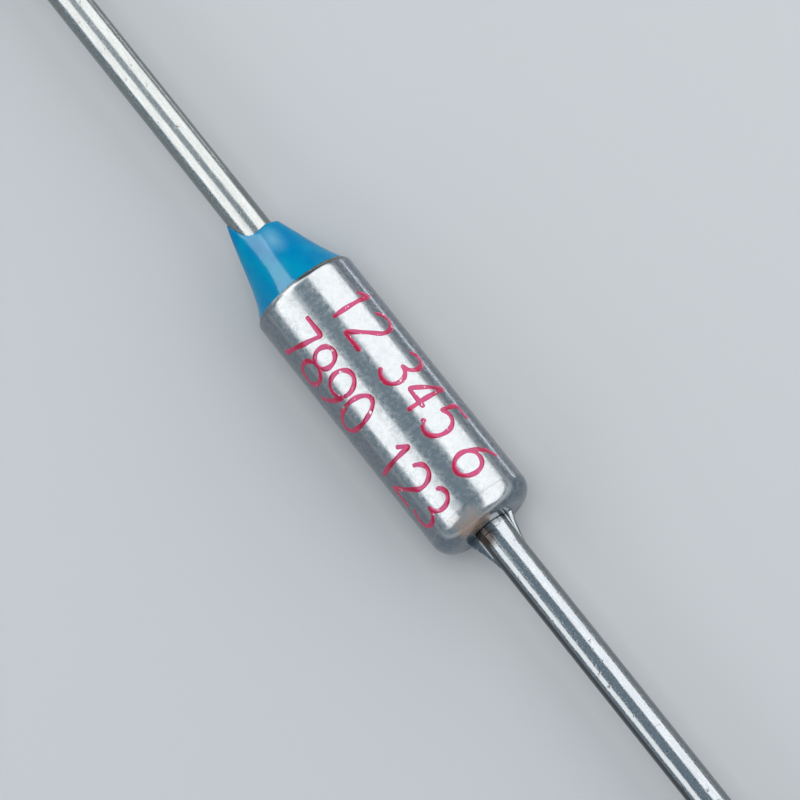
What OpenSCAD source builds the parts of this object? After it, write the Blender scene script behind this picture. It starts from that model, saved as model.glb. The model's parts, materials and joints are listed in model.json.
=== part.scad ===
// Axial thermal fuse: a drawn metal can that holds a melting pellet, two springs and a star
// contact, with a stiff wire lead at each end and a resin cone that seals the open end.
// The fuse lies along X. The case lead points to +X, the isolated lead to -X, and the origin is
// the middle of the case on its axis.

/* [Case] */
// Outside diameter of the case
case_d = 4; // [3.8:0.1:5]
// Length of the case from the face of its closed end to the rolled rim
case_len = 10.9; // [10.3:0.1:13]
// Wall of the case along its bore
case_wall = 0.35; // [0.3:0.01:0.42]
// Wall of the case at its mouth, thinned so that the bushing has a step to seat on
mouth_wall = 0.22; // [0.18:0.01:0.26]
// Thickness of the closed end
end_wall = 0.45; // [0.35:0.05:0.6]
// Outside radius of the shoulder at the closed end
shoulder_r = 0.7; // [0.55:0.05:0.9]
// Outside radius of the rolled rim
rim_r = 0.2; // [0.1:0.02:0.24]
// Thickness of the lip that is rolled over the bushing
lip_t = 0.25; // [0.25:0.01:0.35]
// How far the lip reaches in over the bushing
lip_reach = 0.4; // [0.25:0.05:0.5]

/* [Leads] */
// Diameter of the isolated lead
iso_lead_d = 1.3; // [1:0.05:1.4]
// Diameter of the case lead
case_lead_d = 1.25; // [1:0.05:1.4]
// Reach of each lead from its end of the case to the cut tip
lead_reach = 32; // [20:1:60]
// Chamfer that the shears leave at a cut tip
tip_chamfer = 0.08; // [0.04:0.02:0.2]

/* [Isolated lead head] */
// Diameter of the head that the star contact presses on
head_d = 1.8; // [1.6:0.05:1.85]
// Thickness of that head
head_t = 0.35; // [0.25:0.05:0.5]
// Chamfer around the face of the head
head_chamfer = 0.1; // [0.05:0.01:0.15]
// Height by which the bead inside the resin stands proud of the wire
bead_step = 0.17; // [0.1:0.01:0.2]
// Resin that is left over the end of the bead, on the shorter side of the tip
bead_cover = 0.05; // [0.03:0.01:0.4]

/* [Case lead root] */
// Diameter of the shank that passes through the closed end
shank_d = 0.9; // [0.8:0.05:1.1]
// Diameter of the rivet head inside the case
rivet_d = 2; // [1.6:0.1:2.2]
// Thickness of that rivet head
rivet_t = 0.3; // [0.2:0.05:0.4]
// Height by which the collar on the outside stands proud of the wire
collar_step = 0.16; // [0.08:0.01:0.18]
// Length of that collar
collar_len = 0.28; // [0.2:0.02:0.5]
// Span of the two swaged ears, tip to tip
ear_span = 2.06; // [1.8:0.02:2.4]
// Length of the ears along the wire
ear_len = 1.2; // [0.8:0.05:1.6]
// Depth of the hollow in the long edge of an ear
ear_hollow = 0.02; // [0.01:0.01:0.1]
// Thickness of an ear where it leaves the wire
ear_root_t = 0.7; // [0.5:0.05:0.9]
// Thickness of an ear at its outer edge
ear_edge_t = 0.24; // [0.15:0.01:0.4]
// Gap between the ears and the face of the closed end
ear_gap = 0.04; // [0.02:0.01:0.1]
// Turn of the ears about the axis, from level
ear_turn = 5; // [0:5:90]

/* [Bushing] */
// Length of the flange that is held between the step and the lip
flange_len = 2.2; // [1.6:0.1:2.6]
// Chamfer around the ends of the flange
flange_chamfer = 0.15; // [0.08:0.01:0.2]
// Diameter of the nose inside the case
nose_d = 1.9; // [1.9:0.02:2]
// Length of the nose
nose_len = 1.7; // [1.4:0.1:1.9]
// Diameter of the boss that stands in the resin
boss_d = 2.3; // [2.1:0.05:2.4]
// Length of the boss
boss_len = 0.45; // [0.3:0.05:0.7]

/* [Contact, discs and pellet] */
// Thickness of the star contact's sheet
contact_t = 0.15; // [0.1:0.01:0.2]
// Diameter of the flat web of the star contact
web_d = 2.72; // [2.7:0.02:2.8]
// Number of fingers around the web
finger_count = 8; // [6:1:10]
// Width of a finger where it leaves the web
finger_w = 0.62; // [0.4:0.02:0.64]
// Width of a finger at its tip
finger_tip_w = 0.3; // [0.2:0.02:0.36]
// Angle that the fingers are bent out of the web
finger_bend = 60; // [45:5:70]
// Thickness of the two pressure discs
disc_t = 0.2; // [0.15:0.01:0.3]
// Radius of the discs' tumbled edges
disc_edge_r = 0.05; // [0.02:0.01:0.07]
// Radius of the pellet's edge under its disc
pellet_edge_r = 0.1; // [0.05:0.01:0.2]

/* [Springs] */
// Wire diameter of the barrel spring
barrel_wire_d = 0.36; // [0.3:0.02:0.4]
// Length of the barrel spring as it is held in the case
barrel_len = 2.3; // [2.2:0.05:2.6]
// Turns of the barrel spring
barrel_turns = 3.5; // [3:0.25:3.5]
// Mean diameter of the barrel spring at its ends
barrel_end_d = 2.15; // [1.9:0.05:2.3]
// Growth of that mean diameter at the middle of the barrel
barrel_swell = 0.35; // [0:0.05:0.4]
// Wire diameter of the trip spring
trip_wire_d = 0.25; // [0.2:0.01:0.26]
// Turns of the trip spring
trip_turns = 3.5; // [2.5:0.25:4]

/* [Resin seal] */
// Inset of the resin's foot from the outside of the case
seal_inset = 0.14; // [0.1:0.01:0.3]
// Reach of the resin along the lead, on its longer side
seal_len = 3.3; // [2.6:0.1:4.5]
// Wall of resin that is left around the lead at the tip
seal_tip_wall = 0.06; // [0.03:0.01:0.15]
// Hollow of the cone's side, as resin sinks when it cures
seal_hollow = 0.07; // [0.02:0.01:0.1]
// Lean of the tip, as resin creeps further up one side of the lead
seal_lean = 24; // [0:1:35]

/* [Hidden] */
$fn = 96;

// Clearances: a free fit in the bore, a close fit, and the gap of a seated curve
free_fit = 0.08;
close_fit = 0.03;
seat_gap = 0.01;

// Facets of a wide circle that only its short arc is used of
wide_circle_fn = 720;

// Round section of spring wire: sides of the wire and steps in a turn
wire_sides = 10;
steps_per_turn = 24;
// Share of a turn that lies flat at each end of a spring
flat_turn = 0.3;

// Radii that pieces share
case_r = case_d / 2;
bore_r = case_r - case_wall;
mouth_r = case_r - mouth_wall;
lip_r = mouth_r - lip_reach;
iso_r = iso_lead_d / 2;
wire_r = case_lead_d / 2;
boss_r = boss_d / 2;
bead_r = iso_r + bead_step;
collar_r = wire_r + collar_step;
inner_corner_r = shoulder_r - case_wall;

// The stack, measured along the axis from the face of the closed end to the rim
lip_z = case_len - lip_t;
flange_z = lip_z - flange_len;
boss_z = lip_z + boss_len;
nose_z = flange_z - nose_len;
head_z = nose_z - head_t;
web_z = head_z - contact_t;
contact_disc_z = web_z - disc_t;
barrel_z = contact_disc_z - barrel_len;
pellet_disc_z = barrel_z - disc_t;
pellet_len = pellet_disc_z - end_wall;
seal_r = case_r - seal_inset;
seal_foot_z = case_len - rim_r + sqrt(pow(rim_r, 2) - pow(max(0, rim_r - seal_inset), 2));
seal_tip_r = iso_r + seal_tip_wall;
seal_tip_z = case_len + seal_len;
bead_z = seal_tip_z - (seal_tip_r + bead_r) * tan(seal_lean) - bead_cover;
iso_tip_z = case_len + lead_reach;

silver_plate = "silver";
tinned_copper = "gainsboro";
spring_steel = "slategray";
white_ceramic = "ivory";

// Turns the stack's axis from Z to -X and sets the middle of the case on the origin
module on_axis() {
    translate([case_len / 2, 0, 0]) rotate([0, -90, 0]) children();
}

// Block of a revolved profile from the axis out to r, between two heights
module band(r, z0, z1) {
    translate([0, z0]) square([r, z1 - z0]);
}

// Profile of a round bar whose lower edge, and upper edge if it has a radius, are rounded
module rounded_bar(r, z0, z1, low_r, high_r = 0) {
    band(r, z0 + low_r, z1 - high_r);
    band(r - low_r, z0, z0 + low_r);
    translate([r - low_r, z0 + low_r]) circle(low_r);
    if (high_r > 0) {
        band(r - high_r, z1 - high_r, z1);
        translate([r - high_r, z1 - high_r]) circle(high_r);
    }
}

// Radius of the circle whose arc stands off a chord by the given sag
function arc_radius(chord, sag) = (chord * chord / 4 + sag * sag) / (2 * sag);

// Circle that hollows the straight side from p to q, on the side to the right of that line
module hollow_side(p, q, sag) {
    chord = norm(q - p);
    radius = arc_radius(chord, sag);
    along = (q - p) / chord;
    out = [along[1], -along[0]];
    translate((p + q) / 2 + out * (radius - sag)) circle(radius, $fn = wide_circle_fn);
}

// Outside of the case as a profile: a round shoulder at the closed end and a rolled rim
module case_outline() {
    rounded_bar(case_r, 0, case_len, shoulder_r, rim_r);
}

module case() {
    color(silver_plate) on_axis() rotate_extrude() difference() {
        case_outline();
        rounded_bar(bore_r, end_wall, lip_z, inner_corner_r);
        band(mouth_r, flange_z, lip_z);
        band(lip_r, lip_z, case_len);
        band(shank_d / 2 + seat_gap, 0, end_wall);
    }
}

// One swaged ear: a wedge of metal squeezed out of the wire, with a hollow long edge
module ear() {
    root = [wire_r, -ear_len];
    tip = [ear_span / 2, -ear_gap];
    intersection() {
        rotate([90, 0, 0]) linear_extrude(ear_root_t, center = true) difference() {
            polygon([[0, -ear_gap], tip, root, [0, -ear_len]]);
            hollow_side(root, tip, ear_hollow);
        }
        translate([0, 0, -ear_len]) linear_extrude(ear_len) polygon([
            [0, -ear_root_t / 2], [ear_span / 2, -ear_edge_t / 2],
            [ear_span / 2, ear_edge_t / 2], [0, ear_root_t / 2]
        ]);
    }
}

module case_lead() {
    color(tinned_copper) on_axis() {
        rotate_extrude() polygon([
            [0, -lead_reach], [wire_r - tip_chamfer, -lead_reach], [wire_r, -lead_reach + tip_chamfer],
            [wire_r, -collar_len - collar_step], [collar_r, -collar_len], [collar_r, 0],
            [shank_d / 2, 0], [shank_d / 2, end_wall], [rivet_d / 2, end_wall],
            [rivet_d / 2, end_wall + rivet_t], [0, end_wall + rivet_t]
        ]);
        for (side = [0, 180]) rotate([0, 0, 90 - ear_turn + side]) ear();
    }
}

module thermal_pellet() {
    pellet_r = bore_r - free_fit;
    color("khaki") on_axis() rotate_extrude() difference() {
        rounded_bar(pellet_r, end_wall, pellet_disc_z, inner_corner_r, pellet_edge_r);
        band(rivet_d / 2 + free_fit, end_wall, end_wall + rivet_t);
    }
}

// Thin round plate that spreads a spring's load, with broken edges
module pressure_disc(z) {
    color("darkgoldenrod") on_axis() rotate_extrude()
        rounded_bar(bore_r - free_fit, z, z + disc_t, disc_edge_r, disc_edge_r);
}

module pellet_disc() pressure_disc(pellet_disc_z);

module contact_disc() pressure_disc(contact_disc_z);

// Height along a spring, as a share of its rise: flat at both ends and even between them
function spring_rise(turn, turns) =
    max(0, min(1, (turn - flat_turn) / (turns - 2 * flat_turn)));

function unit(v) = v / norm(v);

// Round wire wound up the axis from z0 to z1, with its mean radius swelling in the middle
module coil(z0, z1, wire_d, turns, mean_r, swell_r) {
    steps = round(turns * steps_per_turn);
    rise = z1 - z0 - wire_d;
    centre = [for (i = [0:steps])
        let (turn = i * turns / steps, r = mean_r + swell_r * sin(180 * i / steps), a = 360 * turn)
        [r * cos(a), r * sin(a), z0 + wire_d / 2 + rise * spring_rise(turn, turns)]];
    points = [for (i = [0:steps])
        let (
            ahead = unit(centre[min(i + 1, steps)] - centre[max(i - 1, 0)]),
            up = unit(cross([centre[i][0], centre[i][1], 0], ahead))
        )
        for (k = [0:wire_sides - 1])
            let (a = 360 * k / wire_sides)
            centre[i] + wire_d / 2 * (cos(a) * up + sin(a) * cross(up, ahead))];
    walls = [for (i = [0:steps - 1], k = [0:wire_sides - 1])
        let (next = (k + 1) % wire_sides, low = i * wire_sides, high = low + wire_sides)
        [low + k, high + k, high + next, low + next]];
    polyhedron(points, concat(
        [[for (k = [0:wire_sides - 1]) k]],
        walls,
        [[for (k = [wire_sides - 1:-1:0]) steps * wire_sides + k]]
    ));
}

module barrel_spring() {
    color(spring_steel) on_axis() coil(
        barrel_z + seat_gap, contact_disc_z - seat_gap, barrel_wire_d, barrel_turns,
        barrel_end_d / 2, barrel_swell / 2
    );
}

module trip_spring() {
    color(spring_steel) on_axis() coil(
        head_z + seat_gap, flange_z - seat_gap, trip_wire_d, trip_turns,
        nose_d / 2 + free_fit + trip_wire_d / 2, 0
    );
}

// Dished sheet cut to a star: a flat web with fingers bent up until they wipe the bore
module star_contact() {
    web_r = web_d / 2;
    tip_r = bore_r - seat_gap;
    flare = tip_r - web_r;
    rise = flare * tan(finger_bend);
    wall = contact_t / sin(finger_bend);
    color("whitesmoke") on_axis() intersection() {
        translate([0, 0, web_z]) rotate_extrude() polygon([
            [0, 0], [web_r, 0], [tip_r, rise], [tip_r - wall, rise],
            [web_r - wall + contact_t / tan(finger_bend), contact_t], [0, contact_t]
        ]);
        translate([0, 0, web_z]) linear_extrude(rise + contact_t) {
            circle(web_r);
            for (i = [0:finger_count - 1]) rotate(360 * i / finger_count) polygon([
                [0, -finger_w / 2], [web_r, -finger_w / 2], [bore_r, -finger_tip_w / 2],
                [bore_r, finger_tip_w / 2], [web_r, finger_w / 2], [0, finger_w / 2]
            ]);
        }
    }
}

module ceramic_bushing() {
    flange_r = mouth_r - close_fit;
    nose_r = nose_d / 2;
    hole_r = iso_r + close_fit;
    color(white_ceramic) on_axis() rotate_extrude() polygon([
        [hole_r, nose_z], [nose_r, nose_z], [nose_r, flange_z], [flange_r, flange_z],
        [flange_r, lip_z - flange_chamfer], [flange_r - flange_chamfer, lip_z], [boss_r, lip_z],
        [boss_r, boss_z], [hole_r, boss_z]
    ]);
}

module isolated_lead() {
    color(tinned_copper) on_axis() rotate_extrude() polygon([
        [0, head_z], [head_d / 2 - head_chamfer, head_z], [head_d / 2, head_z + head_chamfer],
        [head_d / 2, nose_z], [iso_r, nose_z], [iso_r, boss_z], [bead_r, boss_z], [bead_r, bead_z],
        [iso_r, bead_z], [iso_r, iso_tip_z - tip_chamfer], [iso_r - tip_chamfer, iso_tip_z], [0, iso_tip_z]
    ]);
}

// Cone of cast resin that fills the rolled lip, grips the bead and leans up one side of the lead
module resin_seal() {
    foot = [seal_r, seal_foot_z];
    tip = [seal_tip_r, seal_tip_z];
    color("steelblue") on_axis() difference() {
        rotate_extrude() difference() {
            union() {
                band(lip_r, lip_z, case_len);
                difference() {
                    polygon([[0, seal_foot_z], foot, tip, [0, seal_tip_z]]);
                    case_outline();
                }
            }
            hollow_side(foot, tip, seal_hollow);
            band(boss_r, lip_z, boss_z);
            band(bead_r, boss_z, bead_z);
            band(iso_r, bead_z, seal_tip_z);
        }
        translate([0, -seal_tip_r, seal_tip_z]) rotate([-seal_lean, 0, 0])
            translate([-case_d / 2, -case_d, 0]) cube([case_d, 2 * case_d, seal_len]);
    }
}

case();
case_lead();
thermal_pellet();
pellet_disc();
barrel_spring();
contact_disc();
star_contact();
trip_spring();
ceramic_bushing();
isolated_lead();
resin_seal();
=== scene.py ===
import json
import math

import bmesh
import bpy
from mathutils import Matrix, Vector


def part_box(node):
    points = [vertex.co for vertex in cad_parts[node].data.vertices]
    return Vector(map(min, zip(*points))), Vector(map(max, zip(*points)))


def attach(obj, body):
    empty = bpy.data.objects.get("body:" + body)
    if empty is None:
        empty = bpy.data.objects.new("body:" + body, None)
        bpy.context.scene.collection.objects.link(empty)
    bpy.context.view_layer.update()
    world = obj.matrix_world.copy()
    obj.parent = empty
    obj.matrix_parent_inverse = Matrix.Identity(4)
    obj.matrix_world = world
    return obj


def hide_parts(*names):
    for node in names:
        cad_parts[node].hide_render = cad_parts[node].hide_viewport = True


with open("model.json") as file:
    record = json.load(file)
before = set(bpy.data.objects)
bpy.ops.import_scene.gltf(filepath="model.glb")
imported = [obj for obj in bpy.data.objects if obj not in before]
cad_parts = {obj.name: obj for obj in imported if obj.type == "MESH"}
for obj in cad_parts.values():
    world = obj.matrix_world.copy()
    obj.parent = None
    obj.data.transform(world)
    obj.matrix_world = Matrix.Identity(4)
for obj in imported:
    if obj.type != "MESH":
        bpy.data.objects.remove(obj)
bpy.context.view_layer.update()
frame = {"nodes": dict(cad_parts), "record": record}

mm = 0.001
mergeGap = 0.0001 * mm
nearGap = 0.002 * mm
squareOn = 0.99999
longShare = 0.9
nodes = frame["nodes"]
mountR = {m["name"]: m["dims"]["r_mm"] * mm for m in frame["record"]["mounts"]}
caseR = mountR["case_wall"]
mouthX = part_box("case")[0].x
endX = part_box("case")[1].x
print("frame loaded:", len(nodes), "nodes")


# Small modelling helpers

def startClean():
    if bpy.context.object and bpy.context.object.mode != "OBJECT":
        bpy.ops.object.mode_set(mode="OBJECT")
    bpy.ops.object.select_all(action="DESELECT")


def pick(kind, test):
    # edit mode: selects the faces or edges that pass the test and nothing else
    bpy.ops.mesh.select_all(action="DESELECT")
    bpy.ops.mesh.select_mode(type=kind)
    data = bpy.context.object.data
    mesh = bmesh.from_edit_mesh(data)
    if kind == "FACE":
        for face in mesh.faces:
            face.select = test(face.calc_center_median(), face.normal)
    else:
        for edge in mesh.edges:
            edge.select = test(edge.verts[0].co, edge.verts[1].co)
    mesh.select_flush_mode()
    bmesh.update_edit_mesh(data)


def near(a, b):
    return abs(a - b) < nearGap


def pickEndFace(x):
    pick("FACE", lambda c, n: near(c.x, x) and abs(n.x) > squareOn)


def pickRing(x, r):
    def onRing(v):
        return near(v.x, x) and near(math.hypot(v.y, v.z), r)
    pick("EDGE", lambda a, b: onRing(a) and onRing(b))


def pickLengthwise(length):
    # edges that run nearly the whole of this length
    pick("EDGE", lambda a, b: abs(a.x - b.x) > length * longShare)


def pull(dx):
    bpy.ops.mesh.extrude_region_move(TRANSFORM_OT_translate={"value": (dx, 0, 0)})


def widen(k):
    bpy.ops.transform.resize(value=(1, k, k), center_override=(0, 0, 0))


def flare(k):
    # a new ring in the same plane, k times as wide
    pull(0)
    widen(k)


def roundOff(size, cuts):
    bpy.ops.mesh.bevel(offset=size, segments=cuts, affect="EDGES", clamp_overlap=False)


def addBar(name, r, x0, x1, sides):
    startClean()
    bpy.ops.mesh.primitive_cylinder_add(
        vertices=sides, radius=r, depth=x1 - x0,
        location=((x0 + x1) / 2, 0, 0), rotation=(0, math.pi / 2, 0))
    bpy.ops.object.transform_apply(location=True, rotation=True, scale=True)
    piece = bpy.context.object
    piece.name = name
    piece.data.name = name
    bpy.ops.object.mode_set(mode="EDIT")
    return piece


def closePiece(piece, sharpDeg=32):
    bpy.ops.mesh.select_all(action="SELECT")
    bpy.ops.mesh.remove_doubles(threshold=mergeGap)
    bpy.ops.mesh.normals_make_consistent(inside=False)
    bpy.ops.object.mode_set(mode="OBJECT")
    bpy.ops.object.shade_smooth_by_angle(angle=math.radians(sharpDeg))
    return piece


def turnAngle(v):
    # angle round the axis, 0 at the top and a quarter turn at +Y
    return math.atan2(v.y, v.z)


def smooth(t):
    t = max(0.0, min(1.0, t))
    return t * t * (3 - 2 * t)


# Shader helpers

def newMaterial(name):
    mat = bpy.data.materials.new(name)
    mat.use_nodes = True
    return mat, mat.node_tree, mat.node_tree.nodes["Principled BSDF"]


def add(tree, kind, inputs=None, **props):
    node = tree.nodes.new("ShaderNode" + kind)
    for key, value in props.items():
        setattr(node, key, value)
    for key, value in (inputs or {}).items():
        if isinstance(value, bpy.types.NodeSocket):
            tree.links.new(value, node.inputs[key])
        else:
            node.inputs[key].default_value = value
    return node


def math2(tree, operation, a, b=0.0):
    return add(tree, "Math", {0: a, 1: b}, operation=operation).outputs[0]


def mixColour(tree, factor, a, b):
    node = add(tree, "Mix", {0: factor, 6: a, 7: b}, data_type="RGBA")
    return node.outputs[2]


def remap(tree, value, low, high, toLow=0.0, toHigh=1.0):
    node = add(tree, "MapRange", {0: value, 1: low, 2: high, 3: toLow, 4: toHigh},
               interpolation_type="SMOOTHSTEP")
    return node.outputs[0]


def noise(tree, where, scale, detail=2.0, rough=0.5):
    node = add(tree, "TexNoise", {"Vector": where, "Scale": scale, "Detail": detail, "Roughness": rough})
    return node.outputs["Fac"]


def tint(tree, colour, mask, share, towards):
    return mixColour(tree, math2(tree, "MULTIPLY", mask, share), colour, towards)


def setBump(tree, shader, height, depth):
    bump = add(tree, "Bump", {"Strength": 1.0, "Distance": depth, "Height": height})
    tree.links.new(bump.outputs[0], shader.inputs["Normal"])


def inMillimetres(tree, stretch=(1, 1, 1)):
    coord = add(tree, "TexCoord")
    scale = [k / mm for k in stretch]
    return add(tree, "Mapping", {"Vector": coord.outputs["Object"], "Scale": scale}).outputs["Vector"]


def newGroup(name, ins, outs):
    tree = bpy.data.node_groups.new(name, "ShaderNodeTree")
    for label, kind, value in ins:
        socket = tree.interface.new_socket(name=label, in_out="INPUT", socket_type="NodeSocket" + kind)
        socket.default_value = value
    for label in outs:
        tree.interface.new_socket(name=label, in_out="OUTPUT", socket_type="NodeSocketFloat")
    return tree, tree.nodes.new("NodeGroupInput").outputs, tree.nodes.new("NodeGroupOutput").inputs


def useGroup(tree, group, **values):
    node = tree.nodes.new("ShaderNodeGroup")
    node.node_tree = group
    for key, value in values.items():
        label = key.replace("_", " ")
        if isinstance(value, bpy.types.NodeSocket):
            tree.links.new(value, node.inputs[label])
        else:
            node.inputs[label].default_value = value
    return node.outputs


def setSockets(shader, **values):
    for key, value in values.items():
        shader.inputs[key.replace("_", " ")].default_value = value


# Effects that several finishes share

grainSet = dict(blotch=(3.0, 0.55), speck=(2.0, 0.6), dullRange=(0.35, 0.68))


def makeMetalGrain(gs):
    # cloudy blotches and fine specks of a plated or drawn surface
    tree, given, out = newGroup(
        "metalGrain",
        [("Vector", "Vector", (0, 0, 0)), ("Blotch", "Float", 3.0), ("Speck", "Float", 14.0),
         ("Speck Share", "Float", 0.5)],
        ["Height", "Dull"])
    blotch = noise(tree, given["Vector"], given["Blotch"], *gs["blotch"])
    speck = noise(tree, given["Vector"], given["Speck"], *gs["speck"])
    mixed = add(tree, "Mix", {0: given["Speck Share"], 2: blotch, 3: speck}).outputs[0]
    tree.links.new(mixed, out["Height"])
    tree.links.new(remap(tree, mixed, *gs["dullRange"]), out["Dull"])
    return tree


pitSet = dict(stirScale=10.0, stirReach=(0.2, 0.2, 0.2), leastSize=0.6, core=0.35)


def makePits(ps):
    # scattered small pits, 1 at the middle of each
    tree, given, out = newGroup(
        "pits",
        [("Vector", "Vector", (0, 0, 0)), ("Spacing", "Float", 2.0), ("Width", "Float", 0.08),
         ("Share", "Float", 0.5)],
        ["Mask"])
    # stirred a little, so that no pit is quite round
    stir = add(tree, "TexNoise", {"Vector": given["Vector"], "Scale": ps["stirScale"], "Detail": 1.0})
    stir = add(tree, "VectorMath", {0: stir.outputs["Color"], 1: (0.5, 0.5, 0.5)}, operation="SUBTRACT")
    uneven = add(tree, "VectorMath", {0: stir.outputs[0], 1: ps["stirReach"], 2: given["Vector"]},
                 operation="MULTIPLY_ADD")
    cells = add(tree, "TexVoronoi", {"Vector": uneven.outputs[0], "Scale": given["Spacing"]})
    chance = add(tree, "SeparateColor", {0: cells.outputs["Color"]}).outputs[0]
    kept = math2(tree, "LESS_THAN", chance, given["Share"])
    size = math2(tree, "MULTIPLY", given["Width"], math2(tree, "ADD", chance, ps["leastSize"]))
    spot = remap(tree, cells.outputs["Distance"], size, math2(tree, "MULTIPLY", size, ps["core"]))
    tree.links.new(math2(tree, "MULTIPLY", kept, spot), out["Mask"])
    return tree


tarnishSet = dict(cloud=(2.2, 4.0, 0.6))


def makeTarnish(ts):
    # a cloudy patch round a centre, ragged at its edge
    tree, given, out = newGroup(
        "tarnish",
        [("Vector", "Vector", (0, 0, 0)), ("Centre", "Vector", (0, 0, 0)), ("Reach", "Float", 1.0),
         ("Ragged", "Float", 0.6), ("Core", "Float", 0.35)],
        ["Mask"])
    away = add(tree, "VectorMath", {0: given["Vector"], 1: given["Centre"]}, operation="DISTANCE")
    cloud = noise(tree, given["Vector"], *ts["cloud"])
    wobble = math2(tree, "MULTIPLY", math2(tree, "SUBTRACT", cloud, 0.5), given["Ragged"])
    share = math2(tree, "ADD", math2(tree, "DIVIDE", away.outputs["Value"], given["Reach"]), wobble)
    tree.links.new(remap(tree, share, 1.0, given["Core"]), out["Mask"])
    return tree


metalGrain = makeMetalGrain(grainSet)
pits = makePits(pitSet)
tarnish = makeTarnish(tarnishSet)


# Finishes: places are in millimetres, noises are scale, detail and roughness

# where and how far the painted flank shade goes
flankShadeRanges = dict(upward=(0.86, 0.78), facing=(0.25, 0.40))


def fromAxis(tree, place):
    outward = add(tree, "CombineXYZ", {1: place[1], 2: place[2]}).outputs[0]
    return add(tree, "VectorMath", {0: outward}, operation="LENGTH").outputs["Value"]


def shadedFlankMask(tree, place):
    # where painted shade goes: 1 on the flanks and below, 0 along the top
    upward = math2(tree, "DIVIDE", place[2], fromAxis(tree, place))
    return remap(tree, upward, *flankShadeRanges["upward"])


def paintFlankShade(tree, colour, dark, sides):
    # painted shade: the base colour of the flanks darkens where they turn from the eye, standing for a dark
    # reflection
    facing = add(tree, "LayerWeight", {"Blend": 0.5}).outputs["Facing"]
    return tint(tree, colour, remap(tree, facing, *flankShadeRanges["facing"]), sides, dark)


silverSet = dict(
    bright=(0.64, 0.64, 0.63, 1), dull=(0.59, 0.60, 0.60, 1), roughness=(0.14, 0.20), bumpDepth=0.0009 * mm,
    grain=dict(Blotch=3.0, Speck=9.0, Speck_Share=0.4),
    pit=dict(Spacing=1.7, Width=0.06, Share=0.42), pitShare=0.7, pitColour=(0.2, 0.2, 0.21, 1), pitDepth=1.2,
    fleck=dict(Spacing=4.0, Width=0.14, Share=0.22), fleckRough=0.25,
    fineFleck=dict(Spacing=8.5, Width=0.2, Share=0.38), fineFleckRough=0.16,
    mottle=(6.0, 3.0, 0.6), mottleRange=(0.36, 0.68), mottleShare=0.45, mottleRough=0.095,
    # painted flank shade colours, and where the shoulder and end face take it
    mottlePaintedShade=(0.34, 0.37, 0.41, 1), wallPaintedShade=(0.19, 0.215, 0.245, 1),
    shoulderPaintedShade=(0.15, 0.19, 0.225, 1), shoulderX=(4.6, 5.0), endFaceX=(5.05, 5.3),
    # painted shade on the rolled rim, then along the draw mark where the shoulder starts
    rimX=(-5.21, -5.28), rimNearY=(-0.1, 0.25), rimFarY=(-1.3, -1.6), rimShadeShare=0.95,
    rimShadeColour=(0.16, 0.155, 0.13, 1),
    creaseX=4.70, creaseShadeWidth=(0.06, 0.01), creaseShadeShare=0.35, creaseShadeColour=(0.40, 0.37, 0.33, 1),
    stain=dict(Centre=(5.45, -0.42, 1.4), Reach=1.0, Ragged=0.8), stainShare=0.85,
    stainColour=(0.42, 0.285, 0.22, 1), stainMatt=0.7)


def makeSilverPlate(ss):
    mat, tree, shader = newMaterial("silverPlate")
    where = inMillimetres(tree)
    place = add(tree, "SeparateXYZ", {0: where}).outputs
    grain = useGroup(tree, metalGrain, Vector=where, **ss["grain"])
    pit = useGroup(tree, pits, Vector=where, **ss["pit"])["Mask"]
    fleck = useGroup(tree, pits, Vector=where, **ss["fleck"])["Mask"]
    fineFleck = useGroup(tree, pits, Vector=where, **ss["fineFleck"])["Mask"]
    stain = useGroup(tree, tarnish, Vector=where, **ss["stain"])["Mask"]
    colour = mixColour(tree, grain["Dull"], ss["bright"], ss["dull"])
    # painted shade: seen from the side, the shoulder is darker than the wall, mottled, and its end face all
    # round
    mottle = remap(tree, noise(tree, where, *ss["mottle"]), *ss["mottleRange"])
    paintedShade = mixColour(tree, remap(tree, place[0], *ss["shoulderX"]), ss["wallPaintedShade"], ss["shoulderPaintedShade"])
    paintedShade = tint(tree, paintedShade, mottle, ss["mottleShare"], ss["mottlePaintedShade"])
    sides = math2(tree, "MAXIMUM", shadedFlankMask(tree, place), remap(tree, place[0], *ss["endFaceX"]))
    colour = paintFlankShade(tree, colour, paintedShade, sides)
    # painted shade in a brownish grey on the rolled rim, on its +Y half and at its far -Y edge
    nearSide, farSide = (remap(tree, place[1], *ss[name]) for name in ("rimNearY", "rimFarY"))
    rimShadeSides = math2(tree, "ADD", nearSide, farSide)
    rim = math2(tree, "MULTIPLY", remap(tree, place[0], *ss["rimX"]), rimShadeSides)
    colour = tint(tree, colour, rim, ss["rimShadeShare"], ss["rimShadeColour"])
    # painted shade: a faint dark line along the draw mark where the shoulder starts
    fromCrease = math2(tree, "ABSOLUTE", math2(tree, "SUBTRACT", place[0], ss["creaseX"]))
    colour = tint(tree, colour, remap(tree, fromCrease, *ss["creaseShadeWidth"]), ss["creaseShadeShare"], ss["creaseShadeColour"])
    colour = tint(tree, colour, stain, ss["stainShare"], ss["stainColour"])
    colour = tint(tree, colour, pit, ss["pitShare"], ss["pitColour"])
    tree.links.new(colour, shader.inputs["Base Color"])
    film = math2(tree, "MULTIPLY", stain, ss["stainShare"] * ss["stainMatt"])
    tree.links.new(math2(tree, "SUBTRACT", 1.0, film), shader.inputs["Metallic"])
    dull = remap(tree, grain["Dull"], 0.0, 1.0, *ss["roughness"])
    for mask, rough in ((mottle, "mottleRough"), (fleck, "fleckRough"), (fineFleck, "fineFleckRough")):
        dull = math2(tree, "ADD", dull, math2(tree, "MULTIPLY", mask, ss[rough]))
    tree.links.new(dull, shader.inputs["Roughness"])
    height = math2(tree, "SUBTRACT", grain["Height"], math2(tree, "MULTIPLY", pit, ss["pitDepth"]))
    setBump(tree, shader, height, ss["bumpDepth"])
    return mat


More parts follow.
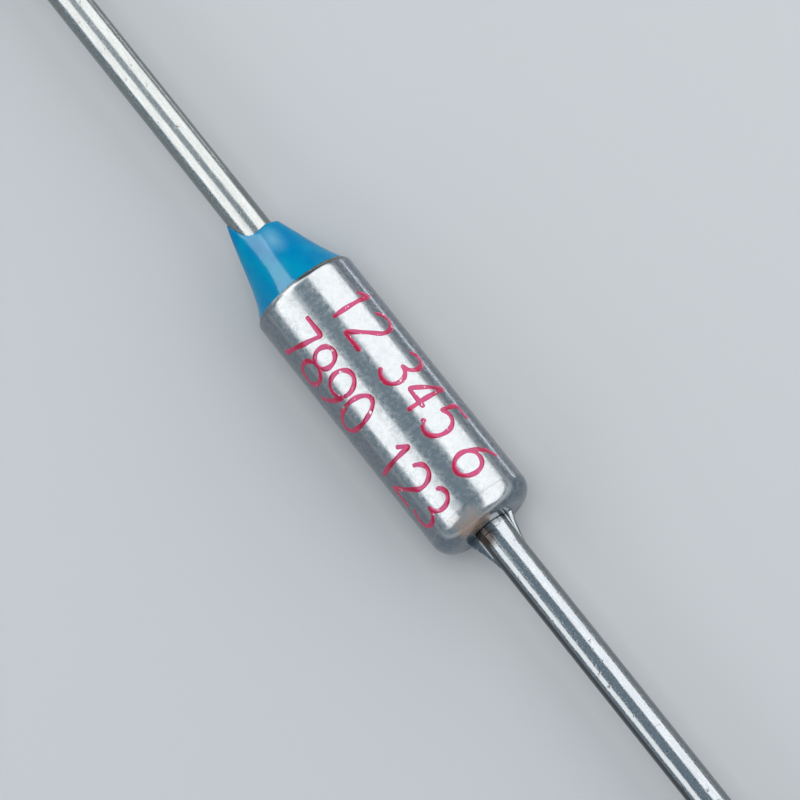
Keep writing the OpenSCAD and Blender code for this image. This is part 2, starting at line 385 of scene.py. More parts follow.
# a pair under byLead has the isolated lead first and the case lead second
wireSet = dict(
    byLead=dict(light=[(0.67, 0.67, 0.64, 1), (0.64, 0.65, 0.65, 1)],
                dark=[(0.53, 0.53, 0.50, 1), (0.50, 0.51, 0.52, 1)],
                clearest=(0.12, 0.08), dullest=(0.17, 0.15), speckle=(0.12, 0.15), nickShare=(0.3, 0.75)),
    leadX=(-6.0, 6.0), drawn=(0.16, 1, 1), grain=dict(Blotch=4.0, Speck=13.0, Speck_Share=0.5),
    bumpDepth=0.002 * mm, fine=(13.0, 2.0, 0.6), fineRange=(0.40, 0.68), fineShare=0.5,
    nick=dict(Spacing=3.6, Width=0.27, Share=0.5), nickColour=(0.10, 0.10, 0.10, 1), nickDepth=2.2,
    # tarnish at the root, near black where it is painted shade beside the left ear
    stain=dict(Centre=(5.72, -0.42, 0.5), Reach=0.65, Ragged=0.8), stainShare=0.9,
    stainColour=(0.07, 0.045, 0.033, 1),
    # a dull -Y side of the case lead, and painted flank shade, darkest on that side
    dullY=(-0.02, -0.16), dullShare=0.8, dullColour=(0.50, 0.51, 0.51, 1), dullSidePaintedShade=(0.075, 0.083, 0.09, 1),
    paintedShade=[(0.22, 0.24, 0.24, 1), (0.28, 0.30, 0.30, 1)],
    # where the pressed ears take painted shade, and the round ear's outer edge that is spared
    earR=(0.67, 0.72), earX=(5.4, 5.5), earY=(-0.2, 0.2, 0.95, 0.3), edgeR=(0.80, 0.86), edgeY=(0.0, 0.1),
    earShadeColours=[(0.28, 0.29, 0.31, 1), (0.44, 0.45, 0.47, 1)])


def makeTinnedWire(ws):
    mat, tree, shader = newMaterial("tinnedWire")
    setSockets(shader, Metallic=1.0)
    where = inMillimetres(tree)
    place = add(tree, "SeparateXYZ", {0: where}).outputs
    grain = useGroup(tree, metalGrain, Vector=inMillimetres(tree, ws["drawn"]), **ws["grain"])
    fine = remap(tree, noise(tree, where, *ws["fine"]), *ws["fineRange"])
    nick = useGroup(tree, pits, Vector=where, **ws["nick"])["Mask"]
    stain = useGroup(tree, tarnish, Vector=where, **ws["stain"])["Mask"]
    # the isolated lead is warmer and speckled, the case lead clear, with nicks and a dull side
    caseSide = remap(tree, place[0], *ws["leadX"])

    def byLead(name):
        return remap(tree, caseSide, 0.0, 1.0, *ws["byLead"][name])
    dullSide = math2(tree, "MULTIPLY", caseSide, remap(tree, place[1], *ws["dullY"]))
    light = mixColour(tree, caseSide, *ws["byLead"]["light"])
    dark = mixColour(tree, caseSide, *ws["byLead"]["dark"])
    clear = math2(tree, "SUBTRACT", 1.0, fine)
    shade = add(tree, "Mix", {0: ws["fineShare"], 2: grain["Dull"], 3: clear}).outputs[0]
    colour = mixColour(tree, shade, light, dark)
    colour = tint(tree, colour, dullSide, ws["dullShare"], ws["dullColour"])
    # painted shade: the pressed ears are dark, apart from the outer edge of the round one
    radius = fromAxis(tree, place)
    roundEdge = remap(tree, radius, *ws["edgeR"])
    roundEdge = math2(tree, "MULTIPLY", roundEdge, remap(tree, place[1], *ws["edgeY"]))
    ear = math2(tree, "MULTIPLY", remap(tree, radius, *ws["earR"]), remap(tree, place[0], *ws["earX"]))
    ear = math2(tree, "MULTIPLY", ear, math2(tree, "SUBTRACT", 1.0, roundEdge))
    ear = math2(tree, "MULTIPLY", ear, remap(tree, place[1], *ws["earY"]))
    colour = mixColour(tree, ear, colour, mixColour(tree, fine, *ws["earShadeColours"]))
    # painted shade on the flanks, darkest on the -Y side of the case lead
    paintedShade = mixColour(tree, dullSide, mixColour(tree, fine, *ws["paintedShade"]), ws["dullSidePaintedShade"])
    colour = paintFlankShade(tree, colour, paintedShade, shadedFlankMask(tree, place))
    # tarnish at the root, darkened to near black as painted shade where the left ear meets the wire
    colour = tint(tree, colour, stain, ws["stainShare"], ws["stainColour"])
    colour = tint(tree, colour, nick, byLead("nickShare"), ws["nickColour"])
    tree.links.new(colour, shader.inputs["Base Color"])
    dull = remap(tree, grain["Dull"], 0.0, 1.0, byLead("clearest"), byLead("dullest"))
    dull = math2(tree, "ADD", dull, math2(tree, "MULTIPLY", fine, byLead("speckle")))
    tree.links.new(dull, shader.inputs["Roughness"])
    height = math2(tree, "SUBTRACT", grain["Height"], math2(tree, "MULTIPLY", nick, ws["nickDepth"]))
    setBump(tree, shader, height, ws["bumpDepth"])
    return mat


blueSet = dict(
    deep=(0.0, 0.195, 0.41, 1), pale=(0.0, 0.265, 0.44, 1), cloud=(0.9, 3.0, 0.5), cloudRange=(0.3, 0.7),
    # painted highlight beside the foot of the wire
    highlightSpot=dict(Centre=(-4.36, 0.3, 0.95), Reach=0.6, Ragged=0.5, Core=-0.2), highlightStretch=(0.6, 1, 1),
    highlightShare=0.75, highlightColour=(0.19, 0.44, 0.57, 1),
    gloss=dict(IOR=1.33, Specular_IOR_Level=0.12, Roughness=0.14, Subsurface_Weight=0.15,
               Subsurface_Scale=0.25 * mm, Subsurface_Radius=(0.3, 0.7, 1.0)),
    ripple=(1.6, 2.0, 0.5), bumpDepth=0.012 * mm)


def makeBlueResin(bs):
    mat, tree, shader = newMaterial("blueResin")
    where = inMillimetres(tree)
    cloud = remap(tree, noise(tree, where, *bs["cloud"]), *bs["cloudRange"])
    colour = mixColour(tree, cloud, bs["deep"], bs["pale"])
    # painted highlight: a pale spot beside the foot of the wire, longer than it is wide
    stretched = inMillimetres(tree, bs["highlightStretch"])
    highlightSpot = useGroup(tree, tarnish, Vector=stretched, **bs["highlightSpot"])["Mask"]
    colour = tint(tree, colour, highlightSpot, bs["highlightShare"], bs["highlightColour"])
    tree.links.new(colour, shader.inputs["Base Color"])
    setSockets(shader, **bs["gloss"])
    setBump(tree, shader, noise(tree, where, *bs["ripple"]), bs["bumpDepth"])
    return mat


inkSet = dict(
    deep=(0.37, 0.002, 0.006, 1), pale=(0.49, 0.005, 0.012, 1), cloud=(3.0, 3.0, 0.6), cloudRange=(0.3, 0.7),
    rubbed=(4.5, 3.0, 0.65), rubbedRange=(0.635, 0.675), bareColour=(0.66, 0.66, 0.65, 1),
    gloss=dict(IOR=2.6, Roughness=0.17, Specular_Tint=(0.95, 0.37, 0.78, 1)),
    ripple=14.0, bumpDepth=0.003 * mm)


def makeRedInk(ns):
    mat, tree, shader = newMaterial("redInk")
    where = inMillimetres(tree)
    cloud = remap(tree, noise(tree, where, *ns["cloud"]), *ns["cloudRange"])
    colour = mixColour(tree, cloud, ns["deep"], ns["pale"])
    # small rubbed spots bare the metal
    rubbed = remap(tree, noise(tree, where, *ns["rubbed"]), *ns["rubbedRange"])
    colour = mixColour(tree, rubbed, colour, ns["bareColour"])
    tree.links.new(colour, shader.inputs["Base Color"])
    tree.links.new(rubbed, shader.inputs["Metallic"])
    setSockets(shader, **ns["gloss"])
    setBump(tree, shader, noise(tree, where, ns["ripple"]), ns["bumpDepth"])
    return mat


# finishes of the inner nodes, with the nodes that have them
innerSets = {
    "organicPellet": dict(light=(0.86, 0.80, 0.62, 1), dark=(0.76, 0.68, 0.48, 1), blotch=3, roughness=0.75,
                          metallic=0.0, bumpDepth=0.004 * mm, on=["thermal_pellet"]),
    "brassDisc": dict(light=(0.72, 0.56, 0.28, 1), dark=(0.58, 0.43, 0.2, 1), blotch=4, roughness=0.25,
                      metallic=1.0, bumpDepth=0.002 * mm, on=["pellet_disc", "contact_disc"]),
    "springSteel": dict(light=(0.5, 0.51, 0.53, 1), dark=(0.36, 0.37, 0.39, 1), blotch=5, roughness=0.25,
                        metallic=1.0, bumpDepth=0.002 * mm, on=["barrel_spring", "trip_spring"]),
    "silverContact": dict(light=(0.88, 0.87, 0.84, 1), dark=(0.7, 0.69, 0.66, 1), blotch=5, roughness=0.15,
                          metallic=1.0, bumpDepth=0.001 * mm, on=["star_contact"]),
    "whiteCeramic": dict(light=(0.90, 0.88, 0.83, 1), dark=(0.84, 0.81, 0.75, 1), blotch=6, roughness=0.55,
                         metallic=0.0, bumpDepth=0.004 * mm, on=["ceramic_bushing"]),
}
innerShared = dict(speckTimes=4, speckShare=0.5, roughMore=0.12)


def makeInnerFinish(name, ns, shared):
    mat, tree, shader = newMaterial(name)
    where = inMillimetres(tree)
    grain = useGroup(tree, metalGrain, Vector=where, Blotch=ns["blotch"],
                     Speck=ns["blotch"] * shared["speckTimes"], Speck_Share=shared["speckShare"])
    tree.links.new(mixColour(tree, grain["Dull"], ns["light"], ns["dark"]), shader.inputs["Base Color"])
    roughest = ns["roughness"] + shared["roughMore"]
    tree.links.new(remap(tree, grain["Dull"], 0, 1, ns["roughness"], roughest), shader.inputs["Roughness"])
    setBump(tree, shader, grain["Height"], ns["bumpDepth"])
    setSockets(shader, Metallic=ns["metallic"])
    return mat


silverPlate = makeSilverPlate(silverSet)
tinnedWire = makeTinnedWire(wireSet)
blueResin = makeBlueResin(blueSet)
redInk = makeRedInk(inkSet)
for finishName, innerSet in innerSets.items():
    finish = makeInnerFinish(finishName, innerSet, innerShared)
    for nodeName in innerSet["on"]:
        nodes[nodeName].data.materials.clear()
        nodes[nodeName].data.materials.append(finish)
print("finishes made:", len(bpy.data.materials))


def settle(piece, finish, stoodFor=None):
    piece.data.materials.clear()
    piece.data.materials.append(finish)
    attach(piece, "root")
    if stoodFor:
        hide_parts(stoodFor)
    print("piece made:", piece.name, len(piece.data.polygons), "faces")


# Case: a drawn can with a round shoulder, a rolled rim and a stepped bore
caseSet = dict(sides=224, shoulder=0.7 * mm, shoulderCuts=16, rim=0.32 * mm, rimCuts=12,
               lipR=1.38 * mm, lipT=0.25 * mm, mouthR=1.78 * mm, mouthDepth=2.45 * mm,
               boreR=1.65 * mm, endWall=0.45 * mm, cornerR=0.35 * mm, cornerCuts=4, holeR=0.46 * mm,
               wallRings=180, markRing=2, markDepth=0.006 * mm)


def makeCase(cs):
    piece = addBar("caseShell", caseR, mouthX, endX, cs["sides"])
    pickRing(endX, caseR)
    roundOff(cs["shoulder"], cs["shoulderCuts"])
    pickRing(mouthX, caseR)
    roundOff(cs["rim"], cs["rimCuts"])
    # mouth, lip and bore
    pickEndFace(mouthX)
    bpy.ops.mesh.inset(thickness=caseR - cs["rim"] - cs["lipR"])
    pull(cs["lipT"])
    flare(cs["mouthR"] / cs["lipR"])
    pull(cs["mouthDepth"] - cs["lipT"])
    flare(cs["boreR"] / cs["mouthR"])
    floorX = endX - cs["endWall"]
    pull(floorX - mouthX - cs["mouthDepth"])
    pickRing(floorX, cs["boreR"])
    roundOff(cs["cornerR"], cs["cornerCuts"])
    # hole for the shank of the riveted lead
    pickEndFace(floorX)
    bpy.ops.mesh.inset(thickness=cs["boreR"] - cs["cornerR"] - cs["holeR"])
    bpy.ops.mesh.delete(type="FACE")
    pickEndFace(endX)
    bpy.ops.mesh.inset(thickness=caseR - cs["shoulder"] - cs["holeR"])
    bpy.ops.mesh.delete(type="FACE")

    def onHole(v):
        return near(math.hypot(v.y, v.z), cs["holeR"])
    pick("EDGE", lambda a, b: onHole(a) and onHole(b))
    bpy.ops.mesh.bridge_edge_loops()
    # rings along the wall, and the faint draw mark where the shoulder starts
    wallFrom, wallTo = mouthX + cs["rim"], endX - cs["shoulder"]
    pickLengthwise(wallTo - wallFrom)
    bpy.ops.mesh.subdivide(number_cuts=cs["wallRings"])
    step = (wallTo - wallFrom) / (cs["wallRings"] + 1)
    pickRing(wallTo - cs["markRing"] * step, caseR)
    widen(1 - cs["markDepth"] / caseR)
    return closePiece(piece)


settle(makeCase(caseSet), silverPlate, "case")


# Isolated lead: straight wire with a bead in the resin and a flat head inside the case
isoSet = dict(sides=128, tipBevel=0.08 * mm, tipCuts=3,
              beadR=0.82 * mm, beadFrom=-7.3 * mm, beadTo=-5.65 * mm,
              noseX=-1.3 * mm, headR=0.9 * mm, headBevel=0.1 * mm, headCuts=2)


def makeIsolatedLead(ls):
    r = mountR["isolated_lead"]
    tipX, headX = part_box("isolated_lead")[0].x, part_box("isolated_lead")[1].x
    piece = addBar("isolatedLead", r, tipX, ls["beadFrom"], ls["sides"])
    pickRing(tipX, r)
    roundOff(ls["tipBevel"], ls["tipCuts"])
    pickEndFace(ls["beadFrom"])
    flare(ls["beadR"] / r)
    pull(ls["beadTo"] - ls["beadFrom"])
    flare(r / ls["beadR"])
    pull(ls["noseX"] - ls["beadTo"])
    flare(ls["headR"] / r)
    pull(headX - ls["noseX"])
    pickRing(headX, ls["headR"])
    roundOff(ls["headBevel"], ls["headCuts"])
    return closePiece(piece)


settle(makeIsolatedLead(isoSet), tinnedWire, "isolated_lead")


# Case lead: wire with a shallow collar and two swaged ears at its root, and a rivet inside
leadSet = dict(sides=288, wireCuts=60, tipBevel=0.08 * mm, tipCuts=3, gap=0.004 * mm, topEdge=0.025 * mm,
               rootLen=1.6 * mm, rootSteps=90, collarLen=0.25 * mm, collarStep=0.03 * mm,
               collarFall=0.035 * mm, shankR=0.45 * mm, rivetR=1.0 * mm, turnDeg=5, thinPower=1.25,
               sharpDeg=40)
# each ear's section at the case: share of the way round it, then millimetres outward and up
earSections = {
    1: dict(length=1.25 * mm, halfDeg=54, rounded=True, path=[
        (0.0, 0.367, 0.506), (0.08, 0.455, 0.44), (0.16, 0.545, 0.368), (0.22, 0.60, 0.25),
        (0.27, 0.64, 0.15), (0.32, 0.69, 0.105), (0.38, 0.77, 0.095), (0.42, 0.84, 0.075),
        (0.46, 0.89, 0.045), (0.49, 0.93, 0.01), (0.52, 0.955, -0.03), (0.55, 0.95, -0.06),
        (0.63, 0.90, -0.085), (0.78, 0.66, -0.12), (0.9, 0.50, -0.34), (1.0, 0.367, -0.506)]),
    -1: dict(length=1.5 * mm, halfDeg=24, rounded=False, path=[
        (0.0, 0.571, 0.254), (0.14, 0.618, 0.06), (0.30, 0.82, 0.064), (0.44, 0.99, 0.068),
        (0.47, 1.005, 0.05), (0.5, 1.01, 0.0), (0.56, 0.99, -0.06), (0.72, 0.80, -0.08),
        (0.86, 0.64, -0.09), (1.0, 0.571, -0.254)]),
}


def alongPath(ear, share):
    # straight or smooth line through the listed points
    path = ear["path"]
    i = max(k for k in range(len(path) - 1) if path[k][0] <= share)
    a, b = path[i], path[i + 1]
    before, after = path[max(i - 1, 0)], path[min(i + 2, len(path) - 1)]
    span = b[0] - a[0]
    t = (share - a[0]) / span
    if not ear["rounded"]:
        return a[1] + (b[1] - a[1]) * t, a[2] + (b[2] - a[2]) * t
    made = []
    for k in (1, 2):
        fromSlope = (b[k] - before[k]) / (b[0] - before[0]) * span
        toSlope = (after[k] - a[k]) / (after[0] - a[0]) * span
        made.append((2 * t**3 - 3 * t**2 + 1) * a[k] + (t**3 - 2 * t**2 + t) * fromSlope
                    + (3 * t**2 - 2 * t**3) * b[k] + (t**3 - t**2) * toSlope)
    return made


def pressRoot(mesh, ls):
    # swells the collar and squeezes the two ears out of the wire
    top = endX + ls["gap"]
    r = mountR["case_lead"]
    turn = math.radians(ls["turnDeg"])
    for vert in mesh.verts:
        down = vert.co.x - top
        onShank = math.hypot(vert.co.y, vert.co.z) < (r + ls["shankR"]) / 2
        if onShank or not -mergeGap < down < ls["rootLen"]:
            continue
        angle = turnAngle(vert.co) + turn
        swell = ls["collarStep"] * smooth((ls["collarLen"] - down) / ls["collarFall"] + 0.5)
        y, z = (r + swell) * math.sin(angle), (r + swell) * math.cos(angle)
        for side, ear in earSections.items():
            fromEar = math.asin(max(-1, min(1, z / (r + swell))))
            half = math.radians(ear["halfDeg"])
            if y * side <= 0 or abs(fromEar) >= half or down >= ear["length"]:
                continue
            push = (1 - max(down, 0) / ear["length"]) ** ls["thinPower"]
            out, up = alongPath(ear, (half - fromEar) / (2 * half))
            z = up * mm
            onWire = math.sqrt((r + swell) ** 2 - z ** 2)
            y = side * (onWire + push * (out * mm - onWire))
        if near(down, 0):
            y *= 1 - ls["topEdge"] / r
            z *= 1 - ls["topEdge"] / r
        vert.co.y = y * math.cos(turn) - z * math.sin(turn)
        vert.co.z = y * math.sin(turn) + z * math.cos(turn)


def makeCaseLead(ls):
    r = mountR["case_lead"]
    rivetX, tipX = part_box("case_lead")[0].x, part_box("case_lead")[1].x
    top = endX + ls["gap"]
    rootX = top + ls["rootLen"]
    piece = addBar("caseLead", r, rootX, tipX, ls["sides"])
    pickRing(tipX, r)
    roundOff(ls["tipBevel"], ls["tipCuts"])
    pickLengthwise(tipX - rootX)
    bpy.ops.mesh.subdivide(number_cuts=ls["wireCuts"])
    pickEndFace(rootX)
    for step in range(ls["rootSteps"]):
        pull((ls["topEdge"] - ls["rootLen"]) / ls["rootSteps"])
    pull(-ls["topEdge"])
    flare(ls["shankR"] / r)
    pull(endX - caseSet["endWall"] - top)
    flare(ls["rivetR"] / ls["shankR"])
    pull(rivetX - endX + caseSet["endWall"])
    mesh = bmesh.from_edit_mesh(piece.data)
    pressRoot(mesh, ls)
    bmesh.update_edit_mesh(piece.data)
    return closePiece(piece, ls["sharpDeg"])


settle(makeCaseLead(leadSet), tinnedWire, "case_lead")


# Resin: a cone that fills the mouth, climbs one side of the lead and ends in a ragged line on it
resinSet = dict(sides=224, rings=60, footR=1.87 * mm, footSink=0.06 * mm, tipX=-7.86 * mm,
                tipWall=0.05 * mm, sag=0.05 * mm, wispLen=1.06 * mm, wispPower=6, climbFrom=0.15,
                thinWall=0.03 * mm, thinFrom=0.5, bluntWall=0.14 * mm, bluntEase=0.05,
                rippleLen=0.12 * mm, rippleAt=math.radians(60), ripplePower=4,
                lipR=1.37 * mm, plugDepth=0.19 * mm, boreIn=0.006 * mm, boreDepth=0.8 * mm, sharpDeg=60)


def makeResin(rs):
    r = mountR["isolated_lead"]
    tipR = r + rs["tipWall"]
    footX = mouthX + rs["footSink"]
    length = footX - rs["tipX"]
    startClean()
    bpy.ops.mesh.primitive_cone_add(
        vertices=rs["sides"], radius1=tipR, radius2=rs["footR"], depth=length,
        location=((footX + rs["tipX"]) / 2, 0, 0), rotation=(0, math.pi / 2, 0))
    bpy.ops.object.transform_apply(location=True, rotation=True, scale=True)
    piece = bpy.context.object
    piece.name = "resinCone"
    piece.data.name = "resinCone"
    bpy.ops.object.mode_set(mode="EDIT")
    pickEndFace(footX)
    bpy.ops.mesh.inset(thickness=rs["footR"] - rs["lipR"])
    pull(rs["plugDepth"])
    pickLengthwise(length)
    bpy.ops.mesh.subdivide(number_cuts=rs["rings"])
    pickEndFace(rs["tipX"])
    bpy.ops.mesh.inset(thickness=rs["tipWall"] + rs["boreIn"])
    pull(rs["boreDepth"])
    # lean the tip, thicken its blunt side and hollow the flank
    mesh = bmesh.from_edit_mesh(piece.data)
    for vert in mesh.verts:
        t = (footX - vert.co.x) / length
        if t <= 0.001:
            continue
        angle = turnAngle(vert.co)
        towardWisp = (1 - math.sin(angle)) / 2
        towardBlunt = (1 + math.sin(angle)) / 2
        towardRipple = (1 + math.cos(angle - rs["rippleAt"])) / 2
        radius = math.hypot(vert.co.y, vert.co.z)
        out = radius
        if radius > r:
            out -= rs["sag"] * 4 * t * (1 - t)
            out -= rs["thinWall"] * towardWisp ** 2 * smooth((t - rs["thinFrom"]) / (1 - rs["thinFrom"]))
            out += rs["bluntWall"] * towardBlunt ** 2 * smooth(t) * smooth((1 - t) / rs["bluntEase"])
        vert.co.y *= out / radius
        vert.co.z *= out / radius
        climb = rs["wispLen"] * towardWisp ** rs["wispPower"]
        climb += rs["rippleLen"] * towardRipple ** rs["ripplePower"]
        vert.co.x -= climb * smooth((t - rs["climbFrom"]) / (1 - rs["climbFrom"]))
    bmesh.update_edit_mesh(piece.data)
    return closePiece(piece, rs["sharpDeg"])


settle(makeResin(resinSet), blueResin, "resin_seal")


# Printed numerals: single pen strokes wrapped round the case
printSet = dict(
    height=1.8 * mm, width=0.88 * mm, stroke=0.18 * mm, rise=0.01 * mm, waver=0.13, waverStep=0.45,
    endWidth=0.6, sides=3, closeness=0.4, easing=2, sharpDeg=60,
    lines=[dict(text="12 345 6", start=-4.0 * mm, foot=0.26 * mm, pitch=1.2 * mm, space=0.57 * mm),
           dict(text="7890 123", start=-4.1 * mm, foot=-2.26 * mm, pitch=1.1 * mm, space=1.0 * mm)])


def sweep(cx, cy, rx, ry, fromDeg, toDeg, count=18):
    turn = [math.radians(fromDeg + (toDeg - fromDeg) * i / count) for i in range(count + 1)]
    return [(cx + rx * math.cos(a), cy + ry * math.sin(a)) for a in turn]


# pen strokes of each numeral in a box one wide and one high
penStrokes = {
    "0": [sweep(0.5, 0.5, 0.5, 0.5, 90, 456, 36)],
    "1": [[(0.25, 0.76), (0.6, 1.0), (0.6, 0.0)]],
    "2": [sweep(0.48, 0.72, 0.46, 0.28, 165, -42) + [(0.0, 0.0), (1.0, 0.0)]],
    "3": [sweep(0.46, 0.75, 0.42, 0.25, 150, -90) + sweep(0.46, 0.25, 0.5, 0.25, 90, -150)],
    "4": [[(0.72, 0.0), (0.72, 1.0), (0.0, 0.3), (1.0, 0.3)]],
    "5": [[(0.9, 1.0), (0.2, 1.0), (0.1, 0.56)] + sweep(0.46, 0.33, 0.52, 0.33, 125, -150)],
    "6": [[(0.82, 1.0), (0.45, 0.86), (0.14, 0.58)] + sweep(0.5, 0.3, 0.5, 0.3, 150, 510, 30)],
    "7": [[(0.0, 1.0), (1.0, 1.0), (0.36, 0.0)]],
    "8": [sweep(0.5, 0.76, 0.42, 0.24, -90, 270, 30) + sweep(0.5, 0.26, 0.5, 0.26, 90, -276, 30)],
    "9": [sweep(0.5, 0.7, 0.5, 0.3, -30, 330, 30) + [(0.86, 0.42), (0.55, 0.14), (0.18, 0.0)]],
}


def addStroke(points, ps):
    curve = bpy.data.curves.new("penStroke", "CURVE")
    curve.dimensions = "3D"
    curve.bevel_depth = ps["stroke"] / 2
    curve.bevel_resolution = ps["sides"]
    curve.use_fill_caps = True
    spline = curve.splines.new("POLY")
    spline.points.add(len(points) - 1)
    for point, (x, y) in zip(spline.points, points):
        point.co = (x, y, 0, 1)
    for i, point in enumerate(spline.points):
        point.radius = 1 + ps["waver"] * math.sin(i * ps["waverStep"] + len(points))
    for end in (0, -1):
        spline.points[end].radius = ps["endWidth"]
    stroke = bpy.data.objects.new("penStroke", curve)
    bpy.context.scene.collection.objects.link(stroke)
    return stroke


def finer(points, step, easing):
    # evenly close points, with the corners eased
    made = [points[0]]
    for (ax, ay), (bx, by) in zip(points, points[1:]):
        count = max(1, math.ceil(math.hypot(bx - ax, by - ay) / step))
        made += [(ax + (bx - ax) * i / count, ay + (by - ay) * i / count) for i in range(1, count + 1)]
    for again in range(easing):
        made[1:-1] = [((ax + 2 * bx + cx) / 4, (ay + 2 * by + cy) / 4)
                      for (ax, ay), (bx, by), (cx, cy) in zip(made, made[1:], made[2:])]
    return made


def makeNumerals(ps):
    strokes = []
    for line in ps["lines"]:
        x = line["start"]
        for mark in line["text"]:
            if mark == " ":
                x += line["space"]
                continue
            for path in penStrokes[mark]:
                placed = [(x + a * ps["width"], line["foot"] + b * ps["height"]) for a, b in path]
                placed = finer(placed, ps["stroke"] * ps["closeness"], ps["easing"])
                strokes.append(addStroke(placed, ps))
            x += line["pitch"]
    startClean()
    for stroke in strokes:
        stroke.select_set(True)
    bpy.context.view_layer.objects.active = strokes[0]
    bpy.ops.object.convert(target="MESH")
    bpy.ops.object.join()
    piece = bpy.context.object
    piece.name = "printedNumerals"
    piece.data.name = "printedNumerals"
    # flatten the pen lines to a film and roll it round the case
    for vert in piece.data.vertices:
        turn = vert.co.y / caseR
        out = caseR + vert.co.z / (ps["stroke"] / 2) * ps["rise"]
        vert.co.y = out * math.sin(turn)
        vert.co.z = out * math.cos(turn)
    bpy.ops.object.mode_set(mode="EDIT")
    return closePiece(piece, ps["sharpDeg"])


settle(makeNumerals(printSet), redInk)


# Stage: floor, lamps and camera
stageSet = dict(floorSize=8.0, floorColour=(0.53, 0.53, 0.53, 1), floorRough=0.9,
                worldColour=(0.20, 0.27, 0.33, 1), lampAway=90 * mm,
                strips={"right": dict(edges=(25, 86), span=(-85, -14), bright=1.24),
                        "rightLead": dict(edges=(22, 79), span=(-14, 180), bright=1.24),
                        "isolated": dict(edges=(-63, -12), span=(-95, -29.3), bright=1.24),
                        "isolatedMiddle": dict(edges=(-11, 24), span=(-65, -31), bright=0.2),
                        "left": dict(edges=(-70, -21), span=(-29.3, -14), bright=1.24),
                        "leftLead": dict(edges=(-70, -38), span=(-14, 30), bright=1.24)},
                panelSpan=(-200 * mm, -66 * mm), panelSides=(-16 * mm, 42 * mm), panelBright=0.95,
                fillHeight=0.8, fillSide=0.5, fillBright=3.2,
                cardPlace=Vector((-101.28, -30.96, 56.28)) * mm, cardSize=(56 * mm, 80 * mm),
                cards={"resinCard": dict(bright=22, shownIn=["resinCone"]),
                       "metalCard": dict(bright=1.25, shownIn=["caseShell", "isolatedLead", "caseLead"])},
                edgeY=6.63 * mm, edgeZ=-1.9 * mm, edgeSpans=[(-40 * mm, -12.2 * mm), (-7.2 * mm, 4.4 * mm)],
                edgeWidth=0.55 * mm, edgeBright=4.0)


def makeFloor(ss):
    startClean()
    bpy.ops.mesh.primitive_plane_add(size=ss["floorSize"], location=(0, 0, -caseR))
    floor = bpy.context.object
    floor.name = "floor"
    mat, _, shader = newMaterial("paleFloor")
    setSockets(shader, Base_Color=ss["floorColour"], Roughness=ss["floorRough"], Specular_IOR_Level=0.0)
    floor.data.materials.append(mat)


def turnedTo(x, y, z, place):
    return Matrix.Translation(place) @ Matrix((x, y, z)).transposed().to_4x4()


def addLamp(name, place, facing, along, length, width, bright):
    lamp = bpy.data.lights.new(name, "AREA")
    lamp.shape = "RECTANGLE"
    lamp.size = length
    lamp.size_y = width
    lamp.energy = bright * math.pi * width * length
    holder = bpy.data.objects.new(name, lamp)
    bpy.context.scene.collection.objects.link(holder)
    z = -Vector(facing).normalized()
    x = Vector(along)
    x = (x - z * x.dot(z)).normalized()
    holder.matrix_world = turnedTo(x, z.cross(x), z, place)
    return holder


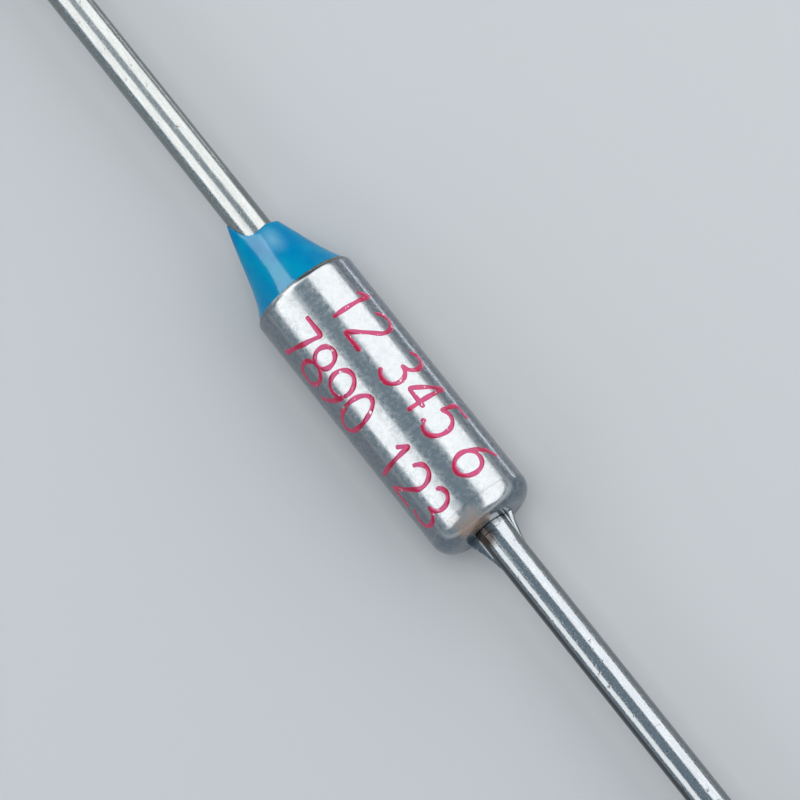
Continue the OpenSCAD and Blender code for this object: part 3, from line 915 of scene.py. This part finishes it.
def makeLamps(ss):
    # long strips beside the fuse, of another width over each lead, and a soft fill above
    for name, strip in ss["strips"].items():
        a, b = strip["edges"]
        start, end = (x * mm for x in strip["span"])
        middle, half = math.radians((a + b) / 2), math.radians((b - a) / 2)
        out = Vector((0, math.sin(middle), math.cos(middle)))
        place = out * ss["lampAway"] + Vector(((start + end) / 2, 0, 0))
        addLamp(name + "Strip", place, -out, (1, 0, 0), end - start,
                2 * ss["lampAway"] * math.tan(half), strip["bright"])
    fill = addLamp("overheadFill", Vector((0, 0, ss["fillHeight"])), (0, 0, -1), (1, 0, 0),
                   ss["fillSide"], ss["fillSide"], ss["fillBright"])
    fill.visible_glossy = False
    # the next ones only draw highlights
    start, end = ss["panelSpan"]
    low, high = ss["panelSides"]
    panel = addLamp("rimPanel", Vector(((start + end) / 2, (low + high) / 2, ss["lampAway"])), (0, 0, -1),
                    (1, 0, 0), end - start, high - low, ss["panelBright"])
    panel.visible_diffuse = False
    # the card is bright for the glossy resin and plain for the metal, which mirrors far more of it
    for name, cardSet in ss["cards"].items():
        card = addLamp(name, ss["cardPlace"] + Vector((mouthX, 0, 0)), -ss["cardPlace"], (0, 1, 0),
                       *ss["cardSize"], cardSet["bright"])
        card.visible_diffuse = False
        shownIn = bpy.data.collections.new(name + "ShownIn")
        for pieceName in cardSet["shownIn"]:
            shownIn.objects.link(bpy.data.objects[pieceName])
        card.light_linking.receiver_collection = shownIn
    for i, (a, b) in enumerate(ss["edgeSpans"]):
        edge = addLamp("edgeStrip%d" % i, Vector(((a + b) / 2, ss["edgeY"], ss["edgeZ"])),
                       (0, -ss["edgeY"], caseR), (1, 0, 0), b - a, ss["edgeWidth"], ss["edgeBright"])
        edge.visible_diffuse = False
    world = bpy.data.worlds.new("studio")
    world.use_nodes = True
    world.node_tree.nodes["Background"].inputs["Color"].default_value = ss["worldColour"]
    bpy.context.scene.world = world


cameraSet = dict(lens=400, sensor=36, tilt=math.radians(12.5), axisDeg=51.41,
                 pixelsPerMm=28.5, imageSide=800, originPixel=(395.4, 407.2), clip=(0.01, 20))


def makeCamera(cs):
    tilt, turn = cs["tilt"], math.radians(cs["axisDeg"])
    back = Vector((math.sin(tilt), 0, math.cos(tilt)))
    along = Vector((math.cos(tilt), 0, -math.sin(tilt)))
    across = Vector((0, 1, 0))
    right = along * math.cos(turn) + across * math.sin(turn)
    up = across * math.cos(turn) - along * math.sin(turn)
    half = cs["imageSide"] / 2
    perPixel = mm / cs["pixelsPerMm"]
    originX, originY = cs["originPixel"]
    target = (right * (half - originX) + up * (originY - half)) * perPixel
    away = cs["imageSide"] * perPixel * cs["lens"] / cs["sensor"]
    data = bpy.data.cameras.new("camera")
    data.lens, data.sensor_width = cs["lens"], cs["sensor"]
    data.clip_start, data.clip_end = cs["clip"]
    camera = bpy.data.objects.new("camera", data)
    bpy.context.scene.collection.objects.link(camera)
    camera.matrix_world = turnedTo(right, up, back, target + back * away)
    bpy.context.scene.camera = camera


makeFloor(stageSet)
makeLamps(stageSet)
makeCamera(cameraSet)
bpy.context.scene.view_settings.view_transform = "Standard"
print("stage set")

startClean()
